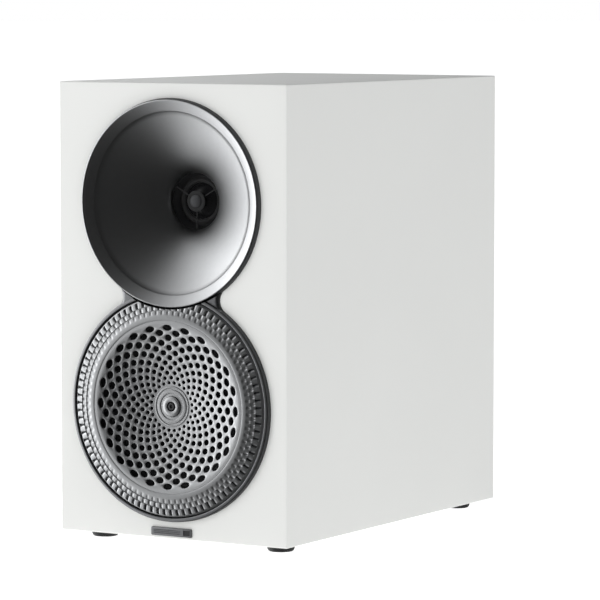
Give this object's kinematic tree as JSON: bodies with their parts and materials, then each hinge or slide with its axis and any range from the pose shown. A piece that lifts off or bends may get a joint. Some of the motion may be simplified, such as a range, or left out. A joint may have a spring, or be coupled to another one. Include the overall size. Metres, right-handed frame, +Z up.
{
  "type": "bookshelf speaker",
  "caption": "Two-way bookshelf loudspeaker in a white box cabinet, with a large horn-loaded tweeter above a woofer behind a dished perforated lens, and a rear port and terminals.",
  "frame": {"origin": "middle of the bounding box's underside, on the plane of the feet", "axes": "+Z up, the drivers face -Y, +X is the speaker's right as seen from in front"},
  "size_m": [0.188, 0.3198, 0.326],
  "materials": {
    "white_lacquer": "satin white lacquer on board",
    "raw_board": "bare fibreboard",
    "satin_silver": "satin silver",
    "pewter": "pewter satin",
    "grey_polymer": "satin grey moulded ribs",
    "black_plastic": "black",
    "black_rubber": "black",
    "cast_alloy": "dark coated casting",
    "cone_fibre": "dark woven",
    "spider_cloth": "amber corrugated cloth",
    "ferrite": "grey-black ceramic magnet",
    "zinc_steel": "zinc plated",
    "copper": "enamelled copper wire",
    "black_dome": "black coated film",
    "circuit_board": "green laminate",
    "capacitor_film": "yellow sleeve",
    "ceramic": "white ceramic",
    "gold_plate": "bright gold plate",
    "red_plastic": "red",
    "clear_nylon": "milky nylon",
    "foam": "open-cell acoustic foam",
    "red_sleeve": "red insulation"
  },
  "bodies": {
    "cabinet": {"left_side_panel": "white_lacquer", "right_side_panel": "white_lacquer", "top_panel": "white_lacquer", "bottom_panel": "white_lacquer", "front_baffle": "white_lacquer", "rear_panel": "white_lacquer", "window_brace": "raw_board", "tweeter_horn": "satin_silver", "woofer_fascia": "pewter", "nameplate": "pewter", "phase_lens": "pewter", "ribbed_ring": "grey_polymer", "phase_plug": "black_plastic", "tweeter_faceplate": "black_plastic", "tweeter_rear_chamber": "black_plastic", "woofer_screw_1": "black_plastic", "woofer_screw_2": "black_plastic", "woofer_screw_3": "black_plastic", "woofer_screw_4": "black_plastic", "lens_stem": "black_plastic", "lens_screw": "black_plastic", "port_tube": "black_plastic", "terminal_cup": "black_plastic", "foot_front_left": "black_rubber", "foot_front_right": "black_rubber", "foot_rear_left": "black_rubber", "foot_rear_right": "black_rubber", "throat_gasket": "black_rubber", "tweeter_surround": "black_rubber", "woofer_surround": "black_rubber", "magnet_boot": "black_rubber", "woofer_frame": "cast_alloy", "woofer_spider": "spider_cloth", "tweeter_magnet": "ferrite", "woofer_magnet": "ferrite", "tweeter_top_plate": "zinc_steel", "tweeter_yoke": "zinc_steel", "woofer_top_plate": "zinc_steel", "woofer_yoke": "zinc_steel", "woofer_inductor": "copper", "tweeter_inductor": "copper", "crossover_board": "circuit_board", "woofer_capacitor": "capacitor_film", "tweeter_capacitor": "capacitor_film", "tweeter_resistor": "ceramic", "terminal_post_black": "gold_plate", "terminal_post_red": "gold_plate", "foam_lining_left": "foam", "foam_lining_right": "foam", "woofer_lead": "red_sleeve", "tweeter_lead": "red_sleeve", "input_lead": "red_sleeve"},
    "woofer_diaphragm": {"woofer_cone": "cone_fibre", "woofer_voice_coil": "copper"},
    "tweeter_diaphragm": {"tweeter_dome": "black_dome", "tweeter_voice_coil": "copper"},
    "washer_black": {"clamp_washer_black": "clear_nylon"},
    "washer_red": {"clamp_washer_red": "clear_nylon"},
    "knob_black": {"terminal_knob_black": "black_plastic"},
    "knob_red": {"terminal_knob_red": "red_plastic"}
  },
  "joints": [
    {"name": "woofer_travel", "type": "slide", "parent": "cabinet", "child": "woofer_diaphragm", "axis": [0, -1, 0], "range_m": [-0.004, 0.004], "stiffness_N_per_m": 1200, "deforming": ["woofer_surround", "woofer_spider"]},
    {"name": "tweeter_travel", "type": "slide", "parent": "cabinet", "child": "tweeter_diaphragm", "axis": [0, -1, 0], "range_m": [-0.0004, 0.0004], "stiffness_N_per_m": 800, "deforming": ["tweeter_surround"]},
    {"name": "washer_black_slide", "type": "slide", "parent": "cabinet", "child": "washer_black", "axis": [0, 1, 0], "range_m": [0, 0.005]},
    {"name": "knob_black_turn", "type": "hinge", "parent": "washer_black", "child": "knob_black", "pos_m": [-0.0095, 0.15135, 0.101], "axis": [0, 1, 0], "range_deg": [0, 1805]},
    {"name": "washer_red_slide", "type": "slide", "parent": "cabinet", "child": "washer_red", "axis": [0, 1, 0], "range_m": [0, 0.005]},
    {"name": "knob_red_turn", "type": "hinge", "parent": "washer_red", "child": "knob_red", "pos_m": [0.0095, 0.15135, 0.101], "axis": [0, 1, 0], "range_deg": [0, 1805]}
  ],
  "couplings": [
    {"joint": "knob_black_turn", "follows": "washer_black_slide", "rad_per_m": 6283.2},
    {"joint": "knob_red_turn", "follows": "washer_red_slide", "rad_per_m": 6283.2}
  ]
}
